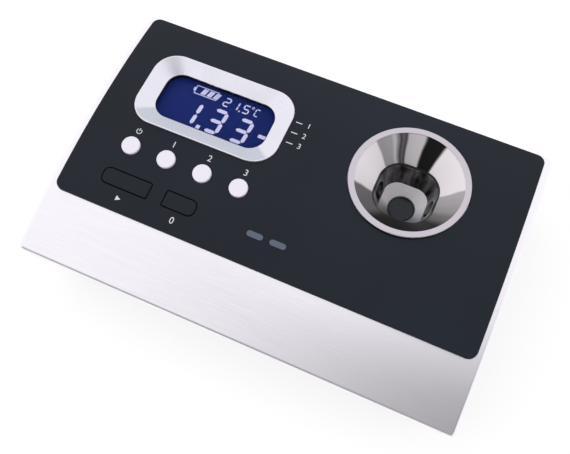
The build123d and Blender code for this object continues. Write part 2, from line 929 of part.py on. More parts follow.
def barrel(side, length, name):
    """Tube on one side of the well, with its bore open at the outer end."""
    with BuildPart() as tube:
        with BuildSketch(Plane.YZ.offset(stage_x + side * nose_near)):
            with Locations((stage_y, beam_level)):
                Circle(barrel_nose_radius)
        extrude(amount=side * (barrel_near - nose_near))
        with BuildSketch(Plane.YZ.offset(stage_x + side * barrel_near)):
            with Locations((stage_y, beam_level)):
                Circle(barrel_radius)
        extrude(amount=side * length)
        with BuildSketch(Plane.YZ.offset(stage_x)):
            with Locations((stage_y, beam_level)):
                Circle(barrel_throat)
        extrude(amount=side * (barrel_near + length), mode=Mode.SUBTRACT)
        with BuildSketch(Plane.YZ.offset(stage_x + side * (barrel_near + barrel_end_wall))):
            with Locations((stage_y, beam_level)):
                Circle(barrel_bore)
        extrude(amount=side * length, mode=Mode.SUBTRACT)
    tube.part.label = name
    return tube.part


lamp_barrel = barrel(-1, lamp_barrel_length, "lamp_barrel")
detector_barrel = barrel(1, detector_barrel_length, "detector_barrel")

# Optics inside the barrels
bore_near = barrel_near + barrel_end_wall
insert_radius = barrel_bore - seat_gap
polariser = beam_disc(-bore_near - seat_gap - disc_thickness, disc_thickness, insert_radius)
polariser.label = "polariser"
analyser = beam_disc(bore_near + seat_gap, disc_thickness, insert_radius)
analyser.label = "analyser"
lens_near = bore_near + seat_gap + disc_thickness + running_gap
with BuildPart() as collimator_lens:
    add(beam_disc(-lens_near - lens_thickness, lens_thickness, insert_radius))
    inner_rim = collimator_lens.faces().filter_by(GeomType.PLANE).sort_by(Axis.X)[0]
    chamfer(inner_rim.edges(), lens_thickness / 2)
collimator_lens.part.label = "collimator_lens"


def beam_emitter(side, end, length, name):
    """Round element with a mounting flange that fills the bore and a domed body towards the well."""
    with BuildPart() as emitter:
        add(beam_disc(side * end, -side * length / 2, insert_radius))
        add(beam_disc(side * (end - length / 2), -side * length / 2, lamp_radius))
        tip = emitter.faces().filter_by(GeomType.PLANE).sort_by(Axis.X)
        chamfer((tip[-1] if side < 0 else tip[0]).edges(), lamp_dome / 2)
    emitter.part.label = name
    return emitter.part


lamp = beam_emitter(-1, barrel_near + lamp_barrel_length, lamp_length, "lamp")
photodiode = beam_emitter(1, barrel_near + detector_barrel_length, lamp_length, "photodiode")

# Prism: round measuring face, square shoulder, slanted lower sides
cell_foot = level(cell_depth)
shoulder_top = cell_foot - prism_seal_thickness
prism_foot = shoulder_top - prism_height
with BuildPart() as prism:
    with BuildSketch(deck(face_depth)):
        with Locations((stage_x, stage_y)):
            Circle(face_radius)
    extrude(amount=shoulder_top - level(face_depth))
    with BuildSketch(Plane.XZ.offset(-stage_y)):
        with BuildLine():
            Polyline(
                (stage_x - prism_width / 2, shoulder_top),
                (stage_x + prism_width / 2, shoulder_top),
                (stage_x + prism_width / 2, shoulder_top - prism_shoulder),
                (stage_x + prism_base / 2, prism_foot),
                (stage_x - prism_base / 2, prism_foot),
                (stage_x - prism_width / 2, shoulder_top - prism_shoulder),
                close=True,
            )
        make_face()
    extrude(amount=prism_length / 2, both=True)
prism.part.label = "prism"
with BuildPart() as prism_seal:
    with BuildSketch(deck(cell_depth)):
        with Locations((stage_x, stage_y)):
            Circle(face_radius + prism_gap + prism_seal_width)
            Circle(face_radius + prism_gap, mode=Mode.SUBTRACT)
    extrude(amount=-prism_seal_thickness)
prism_seal.part.label = "prism_seal"

# Base block of the optics on its flange, with the prism pocket, the lamp bore and the sensor slot
base_foot = floor_top + base_lift
base_screw_places = [
    (stage_x + side * base_screw_x, stage_y + end * base_screw_y)
    for side in (-1, 1)
    for end in (-1, 1)
]
clamp_screw_places = [(stage_x, stage_y + side * clamp_screw_y) for side in (-1, 1)]
pocket_width = prism_width + 2 * running_gap
pocket_length = prism_length + 2 * running_gap
sensor_level = prism_foot + prism_height / 2
with BuildPart() as optics_base:
    with BuildSketch(Plane.XY.offset(base_foot)):
        with Locations((stage_x, stage_y)):
            RectangleRounded(base_flange_width, base_flange_length, cell_corner)
        with Locations(*base_screw_places):
            Circle(cover_screw_shank + running_gap, mode=Mode.SUBTRACT)
    extrude(amount=base_flange_thickness)
    with BuildSketch(Plane.XY.offset(base_foot)):
        with Locations((stage_x, stage_y)):
            RectangleRounded(base_width, base_length, cell_corner)
    extrude(amount=cell_foot - base_foot)
    with BuildSketch(Plane.XY.offset(base_foot)):
        with Locations((stage_x, stage_y)):
            Rectangle(pocket_width, pocket_length)
    extrude(amount=cell_foot - base_foot, mode=Mode.SUBTRACT)
    with BuildSketch(Plane.XY.offset(base_foot)):
        with Locations((stage_x, stage_y)):
            RectangleRounded(clamp_width + 2 * seat_gap, clamp_length + 2 * seat_gap, flush_key_corner)
    extrude(amount=prism_foot - base_foot, mode=Mode.SUBTRACT)
    with BuildSketch(Plane.XY.offset(prism_foot)):
        with Locations(*clamp_screw_places):
            Circle(screw_shank + seat_gap / 2)
    extrude(amount=screw_bite + running_gap, mode=Mode.SUBTRACT)
    with BuildSketch(Plane.YZ.offset(stage_x - base_width)):
        with Locations((stage_y, sensor_level)):
            Circle(lamp_radius + seat_gap)
    extrude(amount=base_width, mode=Mode.SUBTRACT)
    with BuildSketch(Plane.YZ.offset(stage_x)):
        with Locations((stage_y, sensor_level)):
            Rectangle(sensor_width + 2 * seat_gap, sensor_height + 2 * seat_gap)
    extrude(amount=base_width, mode=Mode.SUBTRACT)
optics_base.part.label = "optics_base"

# Plate that presses the prism up on its seal
with BuildPart() as prism_clamp:
    with BuildSketch(Plane.XY.offset(prism_foot)):
        with Locations((stage_x, stage_y)):
            RectangleRounded(clamp_width, clamp_length, flush_key_corner)
        with Locations(*clamp_screw_places):
            Circle(screw_shank + seat_gap, mode=Mode.SUBTRACT)
    extrude(amount=-clamp_thickness)
prism_clamp.part.label = "prism_clamp"
clamp_screws = screw_group(
    Plane.XY.offset(prism_foot - clamp_thickness), clamp_screw_places, clamp_thickness + screw_bite
)
clamp_screws.label = "clamp_screws"

# Lamp and line sensor on either side of the prism
pocket_side = pocket_width / 2
with BuildPart() as refraction_lamp:
    with BuildSketch(Plane.YZ.offset(stage_x - base_width / 2)):
        with Locations((stage_y, sensor_level)):
            Circle(lamp_radius)
    extrude(amount=base_width / 2 - pocket_side)
    tip = refraction_lamp.faces().filter_by(GeomType.PLANE).sort_by(Axis.X)[-1]
    chamfer(tip.edges(), lamp_dome / 2)
refraction_lamp.part.label = "refraction_lamp"
with BuildPart() as line_sensor:
    with BuildSketch(Plane.YZ.offset(stage_x + pocket_side + running_gap)):
        with Locations((stage_y, sensor_level)):
            Rectangle(sensor_width, sensor_height)
    extrude(amount=sensor_thickness)
line_sensor.part.label = "line_sensor"

# Screws that hold the base block on the tray, heads up
with BuildPart() as stage_screws:
    with BuildSketch(Plane.XY.offset(base_foot + base_flange_thickness)):
        with Locations(*base_screw_places):
            Circle(cover_screw_head)
    extrude(amount=cover_screw_head_height)
    with BuildSketch(Plane.XY.offset(base_foot + base_flange_thickness)):
        with Locations(*base_screw_places):
            Circle(cover_screw_shank)
    extrude(amount=-base_flange_thickness - screw_bite)
stage_screws.part.label = "stage_screws"

# Battery bay, in the middle of which the two cells lie along X
bay_x = bay_from_left - half_width
bay_y = half_depth - bay_from_back
cell_pitch = cell_diameter + cell_gap
bay_length = cell_length + cell_nub_length + 2 * (contact_thickness + contact_spring + running_gap)
bay_width = cell_pitch + cell_diameter + 2 * bay_clearance
cell_level = floor_top + running_gap + cell_diameter / 2
bay_ceiling = cell_level + cell_diameter / 2 + bay_clearance
bay_top = bay_ceiling + bay_roof
bay_front = bay_y - bay_width / 2
bay_back = bay_y + bay_width / 2
door_width = bay_length + 2 * door_margin
door_front_y = bay_front - door_margin
door_gap_top = floor_top + running_gap
tongue_middle = (foot_height + floor_top) / 2
back_y = stage_y + panel_radius

# Main board with its processor, crystal, sounder and connector
board_left = board_side_inset - half_width
board_right = stage_x - barrel_near - lamp_barrel_length - board_stage_gap
board_front = board_front_inset - half_depth
board_back = half_depth - board_back_inset
board_middle = ((board_left + board_right) / 2, (board_front + board_back) / 2)
board_level = bay_top + board_lift
board_hole_places = [
    (x, y)
    for x in (board_left + board_hole_inset, board_right - board_hole_inset)
    for y in (board_front + board_hole_inset, board_back - board_hole_inset)
]
board_top = board_level + board_thickness
connector_y = board_front + connector_inset
with BuildPart() as main_board:
    with BuildSketch(Plane.XY.offset(board_level)):
        with Locations(board_middle):
            RectangleRounded(board_right - board_left, board_back - board_front, flush_key_corner)
        with Locations(*board_hole_places):
            Circle(screw_shank + seat_gap, mode=Mode.SUBTRACT)
    extrude(amount=board_thickness)
    with BuildSketch(Plane.XY.offset(board_top)):
        with Locations((ribbon_x, connector_y)):
            Rectangle(connector_length, connector_depth)
    extrude(amount=connector_height)
    with BuildSketch(Plane.XY.offset(board_top)):
        with Locations(board_middle):
            Rectangle(chip_size, chip_size)
            with Locations((chip_size, 0)):
                Rectangle(crystal_width, crystal_length)
            with Locations((-2 * sounder_radius - chip_size / 2, 0)):
                Circle(sounder_radius)
    extrude(amount=chip_height)
main_board.part.label = "main_board"

# Main board screws, heads up
with BuildPart() as main_board_screws:
    with BuildSketch(Plane.XY.offset(board_top)):
        with Locations(*board_hole_places):
            Circle(screw_head)
    extrude(amount=screw_head_height)
    with BuildSketch(Plane.XY.offset(board_top)):
        with Locations(*board_hole_places):
            Circle(screw_shank)
    extrude(amount=-board_thickness - screw_bite)
main_board_screws.part.label = "main_board_screws"

# Flat cable from the main board's connector to the key board's
ribbon_start = (connector_y + connector_depth / 2 + seat_gap / 2, board_top + connector_height / 2)
port_depth = key_board_depth + key_board_thickness + connector_height / 2
ribbon_port = key_plane.from_local_coords(Vector(0, -connector_depth / 2 - seat_gap / 2, -port_depth))
ribbon_rise = (ribbon_start[0] + ribbon_port.Y) / 2
with BuildPart() as key_ribbon:
    with BuildSketch(Plane.YZ.offset(ribbon_x - ribbon_width / 2)):
        with BuildLine() as route:
            FilletPolyline(
                ribbon_start,
                (ribbon_rise, ribbon_start[1]),
                (ribbon_rise, ribbon_port.Z),
                (ribbon_port.Y, ribbon_port.Z),
                radius=ribbon_bend,
            )
        trace(route.line, ribbon_thickness)
    extrude(amount=ribbon_width)
key_ribbon.part.label = "key_ribbon"

# Shell of the moulded tray, and what stands in it
def bay_box(width, front_y, end_y, low, high):
    """Box centred on the battery bay in X."""
    with BuildPart() as box:
        with BuildSketch(Plane.XY.offset(low)):
            with Locations((bay_x, (front_y + end_y) / 2)):
                Rectangle(width, end_y - front_y)
        extrude(amount=high - low)
    return box.part


shoulder_radius = skirt_radius - shadow_gap
with BuildPart() as housing_shell:
    add(arch_block(housing_inset, shoulder_radius, foot_height, housing_corner, housing_draft))
    fillet(housing_shell.faces().sort_by(Axis.Z)[0].outer_wire().edges(), base_round)

# Ribs on the floor and a gusset from each screw boss to the side wall
with BuildPart() as gussets_and_ribs:
    rib_rows = int(half_width / rib_pitch) * 2 - 1
    with BuildSketch(Plane.XY.offset(foot_height + base_round)):
        with GridLocations(rib_pitch, 0, rib_rows, 1):
            Rectangle(rib_thickness, 2 * half_depth)
        with GridLocations(0, rib_pitch, 1, rib_rows // 2):
            Rectangle(overall_width, rib_thickness)
    extrude(amount=floor_top + rib_height - foot_height - base_round)
    with BuildSketch(Plane.XY.offset(foot_height + base_round)):
        for x, y in boss_places:
            with Locations((x + boss_radius * (1 if x > 0 else -1), y)):
                Rectangle(2 * boss_radius, gusset_thickness)
    extrude(amount=board_level - foot_height - base_round)

# Moulded tray
with BuildPart() as bay_walls:
    add(bay_box(bay_length + 2 * bay_wall, bay_front - bay_wall, bay_back + bay_wall, foot_height, bay_top))
    add(bay_box(bay_length + 2 * bay_wall, bay_y, back_y, foot_height, door_gap_top + door_ceiling))
    add(gussets_and_ribs.part)
    add(
        arch_block(housing_inset + tongue_wall, cover_radius, foot_height, tongue_wall, housing_draft),
        mode=Mode.INTERSECT,
    )
with BuildPart() as lower_housing:
    add(housing_shell.part)
    add(arch_block(tongue_inset, tongue_radius, floor_top, tongue_wall, housing_draft))
    cavity = arch_block(cavity_inset, cover_radius, floor_top, cavity_corner, housing_draft)
    add(cavity, mode=Mode.SUBTRACT)
    with BuildSketch(Plane.XY.offset(foot_height + base_round)):
        with Locations(*boss_places):
            Circle(boss_radius)
    extrude(amount=boss_top - foot_height - base_round)
    with BuildSketch(Plane.XY.offset(foot_height + base_round)):
        with Locations(*board_hole_places):
            Circle(board_boss_radius)
    extrude(amount=board_level - foot_height - base_round)
    with BuildSketch(Plane.XY.offset(foot_height + base_round)):
        with Locations(*base_screw_places):
            Circle(boss_radius)
    extrude(amount=base_foot - foot_height - base_round)
    add(bay_walls.part)
    add(bay_box(bay_length, bay_front, bay_back, 0, bay_ceiling), mode=Mode.SUBTRACT)
    add(
        bay_box(door_width + 2 * running_gap, door_front_y - running_gap, back_y, 0, door_gap_top),
        mode=Mode.SUBTRACT,
    )
    add(
        bay_box(
            door_width + 2 * (door_tongue + running_gap),
            door_front_y - running_gap,
            back_y,
            tongue_middle - door_tongue_thickness / 2 - running_gap,
            tongue_middle + door_tongue_thickness / 2 + running_gap,
        ),
        mode=Mode.SUBTRACT,
    )
    with BuildSketch(Plane.XY):
        with Locations(*boss_places):
            Circle(cover_screw_head + running_gap)
    extrude(amount=boss_seat, mode=Mode.SUBTRACT)
    with BuildSketch(Plane.XY.offset(boss_seat)):
        with Locations(*boss_places):
            Circle(cover_screw_shank + seat_gap)
    extrude(amount=boss_top - boss_seat, mode=Mode.SUBTRACT)
    with BuildSketch(Plane.XY.offset(board_level)):
        with Locations(*board_hole_places):
            Circle(screw_shank + seat_gap / 2)
    extrude(amount=-screw_bite - running_gap, mode=Mode.SUBTRACT)
    with BuildSketch(Plane.XY.offset(base_foot)):
        with Locations(*base_screw_places):
            Circle(cover_screw_shank + seat_gap / 2)
    extrude(amount=-screw_bite - running_gap, mode=Mode.SUBTRACT)
    with BuildSketch(Plane.XY):
        with Locations(*foot_places):
            Circle(foot_radius + seat_gap)
    extrude(amount=foot_height + foot_recess, mode=Mode.SUBTRACT)
lower_housing.part.label = "lower_housing"

# Gasket on the tongue of the tray
with BuildPart() as cover_gasket:
    gasket_radius = cover_radius - cover_wall - seat_gap
    add(arch_block(tongue_inset, gasket_radius, floor_top, tongue_wall, housing_draft))
    cavity = arch_block(cavity_inset, cover_radius, foot_height, cavity_corner, housing_draft)
    add(cavity, mode=Mode.SUBTRACT)
    add(arch_disc(tongue_radius + seat_gap), mode=Mode.SUBTRACT)
cover_gasket.part.label = "cover_gasket"

# Screws up through the bosses of the tray into the cover
cover_screws = screw_group(
    Plane.XY.offset(boss_seat),
    boss_places,
    cover_screw_length,
    cover_screw_shank,
    cover_screw_head,
    cover_screw_head_height,
)
cover_screws.label = "cover_screws"

# Sliding battery door: a slice of the tray's shell with a tongue on each side and grip grooves
door_back_y = side_corner(back_angle, housing_inset, foot_height, 1)[0]
with BuildPart() as battery_door:
    add(housing_shell.part)
    add(bay_box(door_width, door_front_y, back_y, 0, floor_top), mode=Mode.INTERSECT)
    add(
        bay_box(
            door_width + 2 * door_tongue,
            door_front_y,
            door_back_y - base_round - running_gap,
            tongue_middle - door_tongue_thickness / 2,
            tongue_middle + door_tongue_thickness / 2,
        )
    )
    with BuildSketch(Plane.XY.offset(foot_height)):
        with Locations((bay_x, door_back_y - base_round - grip_pitch * (grip_count + 1) / 2)):
            with GridLocations(0, grip_pitch, 1, grip_count):
                SlotOverall(grip_width, grip_pitch / 2)
    extrude(amount=grip_depth, mode=Mode.SUBTRACT)
battery_door.part.label = "battery_door"

# Two cells, head to tail
with BuildPart() as battery_cells:
    for side in (-1, 1):
        cell_start = bay_x - side * (cell_length + cell_nub_length) / 2
        with BuildSketch(Plane.YZ.offset(cell_start)):
            with Locations((bay_y + side * cell_pitch / 2, cell_level)):
                Circle(cell_diameter / 2)
        extrude(amount=side * cell_length)
        with BuildSketch(Plane.YZ.offset(cell_start + side * cell_length)):
            with Locations((bay_y + side * cell_pitch / 2, cell_level)):
                Circle(cell_nub_radius)
        extrude(amount=side * cell_nub_length)
battery_cells.part.label = "battery_cells"

# Contact plates at both ends of the bay, each with a conical spring
contact_start = bay_length / 2 - running_gap / 2
with BuildPart() as battery_contacts:
    for side in (-1, 1):
        for row in (-1, 1):
            with BuildSketch(Plane.YZ.offset(bay_x + side * contact_start)):
                with Locations((bay_y + row * cell_pitch / 2, cell_level)):
                    Rectangle(contact_size, contact_size)
            extrude(amount=-side * contact_thickness)
            with BuildSketch(Plane.YZ.offset(bay_x + side * (contact_start - contact_thickness))):
                with Locations((bay_y + row * cell_pitch / 2, cell_level)):
                    Circle(spring_radius)
            extrude(amount=-side * contact_spring, taper=spring_taper)
battery_contacts.part.label = "battery_contacts"

# Feet in shallow recesses under the corners
with BuildPart() as rubber_feet:
    with BuildSketch(Plane.XY):
        with Locations(*foot_places):
            Circle(foot_radius)
    extrude(amount=foot_height + foot_recess - seat_gap / 2)
    fillet(rubber_feet.faces().filter_by(Axis.Z).group_by(Axis.Z)[0].edges(), foot_round)
rubber_feet.part.label = "rubber_feet"

pieces = [
    top_cover.part,
    front_panel.part,
    display_bezel.part,
    display_window,
    display_glass,
    display_backlight,
    display_frame.part,
    display_screws,
    *buttons,
    start_key,
    zero_key,
    key_switches.part,
    key_board.part,
    key_board_screws,
    indicator_left,
    indicator_right,
    indicator_leds.part,
    sample_funnel.part,
    funnel_nut.part,
    well_seal.part,
    sample_well.part,
    lamp_window,
    detector_window,
    lamp_barrel,
    detector_barrel,
    polariser,
    analyser,
    collimator_lens.part,
    lamp,
    photodiode,
    prism.part,
    prism_seal.part,
    optics_base.part,
    prism_clamp.part,
    clamp_screws,
    refraction_lamp.part,
    line_sensor.part,
    stage_screws.part,
    main_board.part,
    main_board_screws.part,
    key_ribbon.part,
    lower_housing.part,
    cover_gasket.part,
    cover_screws,
    battery_door.part,
    battery_cells.part,
    battery_contacts.part,
    rubber_feet.part,
]
os.makedirs("parts", exist_ok=True)
for piece in pieces:
    export_step(piece, f"parts/{piece.label}.step")
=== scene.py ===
import json
import math

import bmesh
import bpy
from mathutils import Euler, Matrix, Vector


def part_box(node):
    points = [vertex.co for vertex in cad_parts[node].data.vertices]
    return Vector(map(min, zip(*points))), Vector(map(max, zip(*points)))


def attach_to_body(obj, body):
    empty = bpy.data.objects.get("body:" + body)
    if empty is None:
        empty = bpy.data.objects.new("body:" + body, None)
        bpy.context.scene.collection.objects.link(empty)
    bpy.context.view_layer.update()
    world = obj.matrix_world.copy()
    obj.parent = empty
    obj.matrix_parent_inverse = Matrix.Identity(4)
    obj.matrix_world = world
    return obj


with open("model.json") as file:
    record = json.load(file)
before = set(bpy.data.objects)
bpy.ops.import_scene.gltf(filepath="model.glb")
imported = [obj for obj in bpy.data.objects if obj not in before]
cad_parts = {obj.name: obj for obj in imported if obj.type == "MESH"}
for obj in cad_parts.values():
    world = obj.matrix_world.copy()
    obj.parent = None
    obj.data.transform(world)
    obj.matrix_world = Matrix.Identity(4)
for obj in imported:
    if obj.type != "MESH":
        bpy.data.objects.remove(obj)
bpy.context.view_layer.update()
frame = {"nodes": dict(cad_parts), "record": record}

MM = 0.001
nodes = frame["nodes"]
scene = bpy.context.scene


def centre(node):
    """Middle of a CAD node's box."""
    low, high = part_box(node)
    return (Vector(low) + Vector(high)) / 2


def top(node):
    """Highest level of a CAD node."""
    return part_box(node)[1][2]


# Sizes of the panel's arch and of the display opening, as in the part
panel_radius = 282 * MM
view_width, view_height, view_corner = 46.4 * MM, 20.6 * MM, 6.6 * MM

# Places taken from the frame
stage_axis = centre("sample_funnel")
view_middle = centre("display_window")
glass_middle = centre("display_glass")
arch_axis = Vector((0, stage_axis.y, top("front_panel") - panel_radius))


# Camera: fitted to the panel's edges, the stage rim and the cover's outline in the photograph
camera_data = bpy.data.cameras.new("camera")
camera_data.sensor_width = 36.0
camera_data.lens = 45.876
camera_data.clip_start = 0.01
camera_data.clip_end = 20.0
camera = bpy.data.objects.new("camera", camera_data)
camera.location = (0.04992, -0.10561, 0.27963)
camera.rotation_euler = Euler([math.radians(a) for a in (23.728, 0.758, 24.015)], "XYZ")
scene.collection.objects.link(camera)
scene.camera = camera


# Shader node helpers
class Shader:
    """A material's node tree with short calls for the nodes that it needs."""

    def __init__(self, name):
        self.material = bpy.data.materials.new(name)
        self.material.use_nodes = True
        self.tree = self.material.node_tree
        self.tree.nodes.clear()
        self.output = self.tree.nodes.new("ShaderNodeOutputMaterial")
        self.bsdf = self.tree.nodes.new("ShaderNodeBsdfPrincipled")
        self.link(self.bsdf.outputs[0], self.output.inputs[0])
        self.place = self.add("TexCoord").outputs["Object"]

    def link(self, source, target):
        self.tree.links.new(source, target)

    def add(self, kind, **settings):
        made = self.tree.nodes.new("ShaderNode" + kind)
        for key, value in settings.items():
            setattr(made, key, value)
        return made

    def feed(self, target, value):
        """Links a socket, or sets a plain value."""
        if isinstance(value, bpy.types.NodeSocket):
            self.link(value, target)
        else:
            target.default_value = value

    def math(self, operation, first, second=0.0):
        made = self.add("Math", operation=operation)
        for socket, value in zip(made.inputs, (first, second)):
            self.feed(socket, value)
        return made.outputs[0]

    def vector(self, operation, first, second=(0, 0, 0)):
        made = self.add("VectorMath", operation=operation)
        self.link(first, made.inputs[0])
        made.inputs[1].default_value = second
        return made.outputs["Value" if operation == "LENGTH" else "Vector"]

    def split(self, vector):
        """X, Y and Z of a vector."""
        made = self.add("SeparateXYZ")
        self.link(vector, made.inputs[0])
        return made.outputs

    def normal(self):
        """X, Y and Z of the surface's normal."""
        return self.split(self.add("NewGeometry").outputs["Normal"])

    def round_stage(self):
        """Share of a turn from +X round the stage axis, with the distance from that axis, X and Z."""
        x, y, z = self.split(self.vector("SUBTRACT", self.place, (stage_axis.x, stage_axis.y, 0)))
        turn = self.math("DIVIDE", self.math("ARCTAN2", y, x), 2 * math.pi)
        turn = self.math("FRACT", self.math("ADD", turn, 1.0))
        squares = self.math("ADD", self.math("MULTIPLY", x, x), self.math("MULTIPLY", y, y))
        return turn, self.math("SQRT", squares), x, z

    def mapped(self, scale):
        """Place on the object, stretched along each axis."""
        made = self.add("Mapping")
        made.inputs["Scale"].default_value = scale
        self.link(self.place, made.inputs["Vector"])
        return made.outputs[0]

    def noise(self, vector, detail=2.0, roughness=0.5):
        made = self.add("TexNoise")
        self.link(vector, made.inputs["Vector"])
        made.inputs["Scale"].default_value = 1.0
        made.inputs["Detail"].default_value = detail
        made.inputs["Roughness"].default_value = roughness
        return made.outputs["Fac"]

    def span(self, value, low, high, to_low=0.0, to_high=1.0):
        """Maps a value from one range to another, clamped."""
        made = self.add("MapRange")
        for socket, setting in zip(made.inputs, (value, low, high, to_low, to_high)):
            self.feed(socket, setting)
        return made.outputs[0]

    def blend(self, factor, first, second):
        """Mixes two colours."""
        made = self.add("Mix", data_type="RGBA")
        self.feed(made.inputs[0], factor)
        for socket, value in ((made.inputs[6], first), (made.inputs[7], second)):
            self.feed(socket, value if isinstance(value, bpy.types.NodeSocket) else (*value, 1.0))
        return made.outputs[2]

    def ramp(self, value, stops, interpolation="LINEAR"):
        """Colour ramp from (position, colour) stops."""
        made = self.add("ValToRGB")
        self.feed(made.inputs[0], value)
        band = made.color_ramp
        band.interpolation = interpolation
        while len(band.elements) < len(stops):
            band.elements.new(0.5)
        for element, (position, colour) in zip(band.elements, stops):
            element.position = position
            element.color = (*colour, 1.0)
        return made.outputs[0]

    def bump(self, height, strength, distance=0.02 * MM):
        made = self.add("Bump")
        made.inputs["Strength"].default_value = strength
        made.inputs["Distance"].default_value = distance
        self.link(height, made.inputs["Height"])
        self.link(made.outputs[0], self.bsdf.inputs["Normal"])

    def set(self, **values):
        """Sets or links inputs of the principled shader; underscores stand for spaces."""
        for key, value in values.items():
            socket = self.bsdf.inputs[key.replace("_", " ")]
            if isinstance(value, tuple) and len(value) == 3:
                value = (*value, 1.0)
            self.feed(socket, value)


def srgb(*channels):
    """Linear colour of an 8-bit sRGB one."""
    shares = [channel / 255 for channel in channels]
    return tuple(((c + 0.055) / 1.055) ** 2.4 if c > 0.04 else c / 12.92 for c in shares)


# Materials
def brushed_steel():
    """Stainless sheet with a fine grain along X."""
    s = Shader("brushed_stainless")
    fine = s.noise(s.mapped((60, 4800, 2400)), detail=3.0, roughness=0.75)
    broad = s.noise(s.mapped((26, 1700, 1000)), detail=2.0)
    grain = s.math("ADD", s.math("MULTIPLY", fine, 0.8), s.math("MULTIPLY", broad, 0.2))
    tone = s.blend(s.span(grain, 0.34, 0.66), (0.90, 0.87, 0.93), (0.97, 0.94, 0.99))
    s.set(Base_Color=tone, Metallic=1.0)
    s.set(Roughness=s.span(grain, 0.3, 0.7, 0.34, 0.26), Anisotropic=0.4)
    s.bump(grain, 0.12, 0.01 * MM)
    return s.material


def panel_plastic():
    """Satin charcoal moulding with a very fine grain."""
    s = Shader("panel_charcoal")
    grain = s.noise(s.mapped((2600, 2600, 2600)), detail=3.0)
    cloud = s.noise(s.mapped((14, 14, 14)), detail=2.0)
    s.set(Base_Color=s.blend(s.span(cloud, 0.35, 0.65), srgb(22, 27, 35), srgb(26, 32, 42)))
    s.set(Roughness=s.span(grain, 0.3, 0.7, 0.44, 0.54), Specular_IOR_Level=0.2)
    s.bump(grain, 0.10, 0.01 * MM)
    return s.material


def moulded(name, colour, roughness=0.45, grain_per_mm=2.4, relief=0.12, metallic=0.0, spread=0.12):
    """Moulded or coated surface: a colour with slow variation and a fine grain."""
    s = Shader(name)
    grain = s.noise(s.mapped((grain_per_mm / MM,) * 3), detail=2.0)
    cloud = s.noise(s.mapped((60, 60, 60)), detail=3.0)
    dark = tuple(c * (1 - spread) for c in colour)
    light = tuple(min(1.0, c * (1 + spread)) for c in colour)
    s.set(Base_Color=s.blend(cloud, dark, light), Metallic=metallic)
    s.set(Roughness=s.span(grain, 0.3, 0.7, roughness - 0.05, roughness + 0.07))
    s.bump(grain, relief)
    return s.material


def bezel_silver():
    """Satin silver plating with a faint mottle; its front slope is painted darker, a painted reflection of
    the darker side of the room.
    """
    s = Shader("bezel_silver")
    cloud = s.noise(s.mapped((120, 120, 120)), detail=3.0)
    grain = s.noise(s.mapped((3000, 3000, 3000)), detail=2.0)
    plating = s.blend(s.span(cloud, 0.3, 0.7), (0.77, 0.77, 0.84), (0.82, 0.81, 0.88))
    # Painted reflection: faces whose normal leans towards +Y get a darker silver.
    painted_dark_slope = s.span(s.normal()[1], 0.20, 0.25)
    s.set(Base_Color=s.blend(painted_dark_slope, plating, (0.57, 0.59, 0.67)), Metallic=0.9)
    s.set(Roughness=s.span(grain, 0.3, 0.7, 0.24, 0.28))
    s.bump(grain, 0.015, 0.01 * MM)
    return s.material


# Painted reflections of the room on the polished cone, as listed tones round the stage axis: (degrees from
# +X, tone)
cone_painted_reflections = [
    (0, 0.46),
    (12, 0.50),
    (15, 1.0),
    (64, 1.0),
    (68, 0.012),
    (89, 0.010),
    (93, 0.62),
    (111, 0.58),
    (114, 0.07),
    (118, 0.14),
    (120, 0.05),
    (123, 0.26),
    (127, 0.60),
    (131, 0.40),
    (146, 0.36),
    (149, 0.93),
    (176, 0.98),
    (199, 0.93),
    (204, 0.19),
    (232, 0.16),
    (252, 0.012),
    (290, 0.010),
    (318, 0.035),
    (334, 0.20),
    (348, 0.38),
    (360, 0.46),
]


def polished_steel():
    """Turned and polished stainless: painted reflections of the room run down the cone as tones round the
    stage axis; the rim is satin.
    """
    s = Shader("polished_stainless")
    turn, reach, _, z = s.round_stage()
    waver = s.math("MULTIPLY", s.math("SUBTRACT", s.noise(s.mapped((90, 90, 90)), detail=1.0), 0.5), 0.02)
    stops = [(angle / 360, (tone, tone * 0.955, tone * 0.985)) for angle, tone in cone_painted_reflections]
    # Painted reflections: the tone is set by the angle round the stage axis, with a slight waver.
    painted_reflection_wedges = s.ramp(s.math("ADD", turn, waver), stops, "EASE")
    rings = s.add("CombineXYZ")
    s.link(s.math("MULTIPLY", reach, 2600), rings.inputs[0])
    lathe = s.noise(rings.outputs[0])
    cone = s.blend(s.span(lathe, 0.3, 0.7, 0.0, 0.06), painted_reflection_wedges, (0.10, 0.095, 0.10))
    rim_face_depth = 0.27 * MM
    on_rim = s.math("GREATER_THAN", z, top("sample_funnel") - rim_face_depth)
    s.set(Base_Color=s.blend(on_rim, cone, (0.60, 0.56, 0.62)), Specular_IOR_Level=0.02)
    s.set(Metallic=s.span(on_rim, 0.0, 1.0, 0.02, 0.9), Roughness=s.span(on_rim, 0.0, 1.0, 0.3, 0.34))
    s.bump(lathe, 0.05, 0.005 * MM)
    return s.material


# Painted reflections and shade on the dished floor, as listed colours round the stage axis: (share of a
# turn from +X, colour)
dish_painted_reflections = [
    (0.0, (0.80, 0.79, 0.82)),
    (0.06, (0.95, 0.93, 0.97)),
    (0.25, (1.0, 0.97, 1.0)),
    (0.50, (0.92, 0.89, 0.92)),
    (0.56, (0.40, 0.38, 0.40)),
    (0.62, (0.16, 0.15, 0.15)),
    (0.80, (0.10, 0.10, 0.10)),
    (0.92, (0.32, 0.33, 0.37)),
    (1.0, (0.80, 0.79, 0.82)),
]
dish_half_width = 8.7 * MM
# Painted shadow: a near-black ring on the dish out to this distance from the stage axis, with a soft edge.
painted_shadow_edge, painted_shadow_blur = 5.2 * MM, 0.5 * MM


